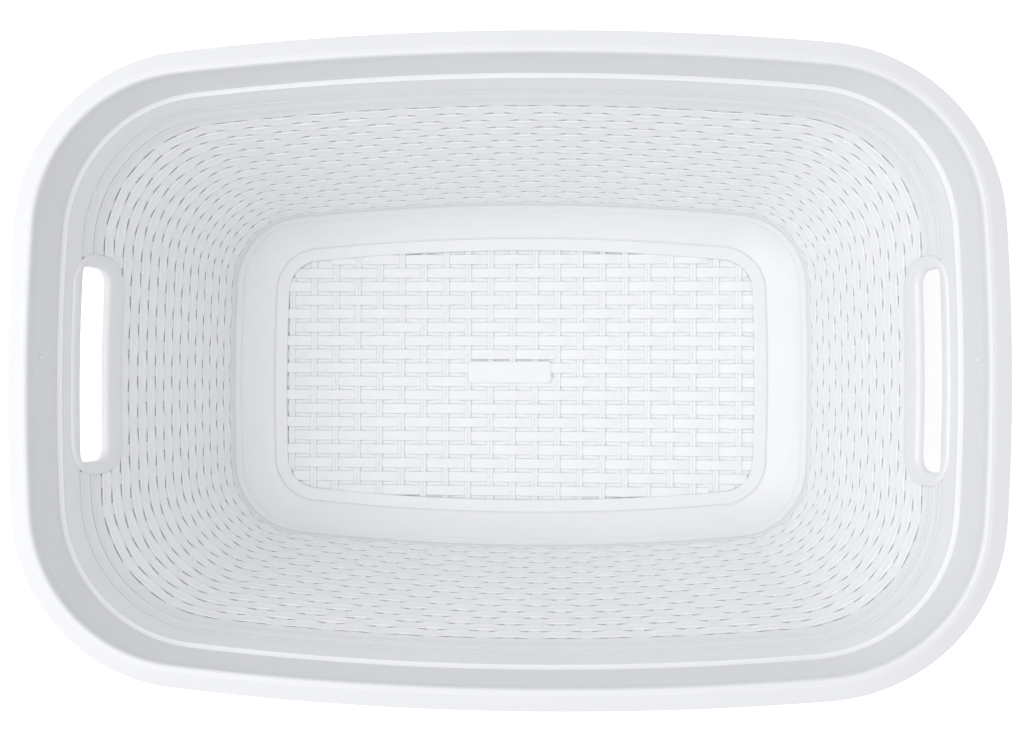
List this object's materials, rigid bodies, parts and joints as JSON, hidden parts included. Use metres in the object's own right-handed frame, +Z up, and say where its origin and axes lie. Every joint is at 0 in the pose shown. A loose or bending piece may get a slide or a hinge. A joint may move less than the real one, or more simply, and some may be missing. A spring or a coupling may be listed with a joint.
{
  "type": "open laundry basket",
  "caption": "Open rectangular laundry basket with a rolled rim, hand holes through both short ends, woven-look walls and a woven-look floor.",
  "frame": {"origin": "middle of the ground footprint, on the floor that the basket stands on", "axes": "+X along the long side, +Y across the short side, +Z up out of the basket's mouth"},
  "size_m": [0.6, 0.406, 0.27],
  "materials": {
    "white_polypropylene": "satin injection-moulded white polypropylene"
  },
  "bodies": {
    "root": {"rim_lip": "white_polypropylene", "rim_skirt": "white_polypropylene", "rim_band": "white_polypropylene", "rim_ledge": "white_polypropylene", "collar": "white_polypropylene", "closed_course_upper": "white_polypropylene", "closed_course_lower": "white_polypropylene", "corner_front_left": "white_polypropylene", "wall_front": "white_polypropylene", "corner_front_right": "white_polypropylene", "wall_left": "white_polypropylene", "wall_right": "white_polypropylene", "corner_back_left": "white_polypropylene", "wall_back": "white_polypropylene", "corner_back_right": "white_polypropylene", "handle_surround_left": "white_polypropylene", "handle_surround_right": "white_polypropylene", "heel": "white_polypropylene", "floor_border": "white_polypropylene", "floor_sheet": "white_polypropylene", "foot_ring": "white_polypropylene", "floor_wefts": "white_polypropylene", "floor_warps": "white_polypropylene", "blank_plate": "white_polypropylene", "band_nubs": "white_polypropylene"}
  },
  "joints": []
}
